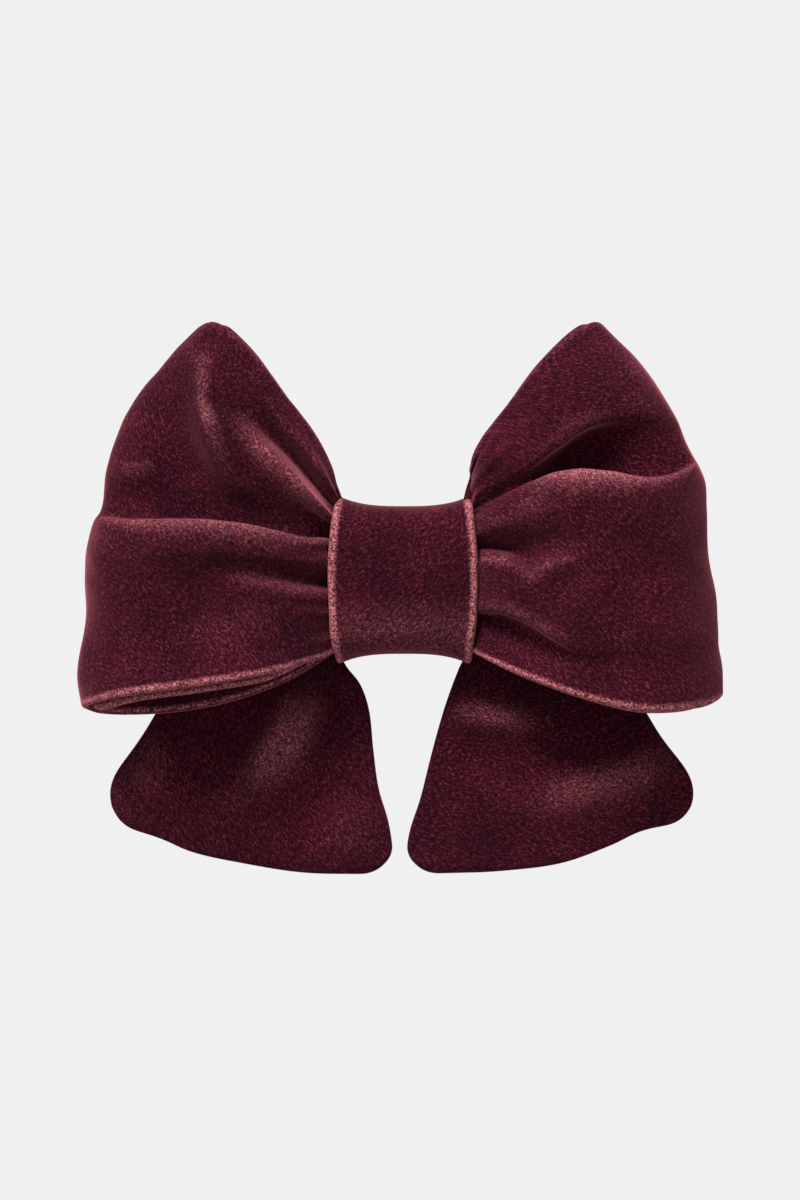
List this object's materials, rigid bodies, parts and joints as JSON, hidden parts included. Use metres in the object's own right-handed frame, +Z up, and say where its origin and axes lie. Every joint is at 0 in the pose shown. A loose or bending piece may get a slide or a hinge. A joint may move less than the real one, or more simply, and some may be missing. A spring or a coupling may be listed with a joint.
{
  "type": "clip-on bow tie",
  "caption": "Clip-on bow tie in padded velvet with two open loops, two rounded tails behind them, a centre knot and a sprung alligator clip sewn to its back.",
  "frame": {"origin": "on the plane where the clip's jaws meet, straight behind the middle of the knot", "axes": "+Z up as worn, +X to the viewer's right along the bow, -Y forward out of the knot's face, +Y towards the wearer's neck"},
  "size_m": [0.1282, 0.0381, 0.1113],
  "materials": {
    "velvet": "burgundy cotton velvet",
    "fleece": "undyed needle-felt fleece",
    "thread": "polyester sewing thread",
    "clip_steel": "nickel-plated sheet steel",
    "pin_steel": "nickel-plated pin",
    "spring_steel": "spring wire"
  },
  "bodies": {
    "bow": {"left_loop_facing": "velvet", "left_loop_interlining": "fleece", "left_loop_lining": "velvet", "right_loop_facing": "velvet", "right_loop_interlining": "fleece", "right_loop_lining": "velvet", "left_tail_front": "velvet", "left_tail_interlining": "fleece", "left_tail_back": "velvet", "right_tail_front": "velvet", "right_tail_interlining": "fleece", "right_tail_back": "velvet", "knot_wrap": "velvet", "knot_padding": "fleece", "waist_thread": "thread", "knot_closing_stitches": "thread", "clip_stitches": "thread", "clip_fixed_arm": "clip_steel", "hinge_pin": "pin_steel", "torsion_spring": "spring_steel"},
    "jaw": {"clip_jaw": "clip_steel"}
  },
  "joints": [
    {"name": "jaw_hinge", "type": "hinge", "parent": "bow", "child": "jaw", "pos_m": [0.017, 0.0024, 0], "axis": [0, 0, -1], "range_deg": [0, 20], "stiffness_Nm_per_rad": 0.06, "springref_deg": -34.38, "deforming": ["torsion_spring"]}
  ]
}
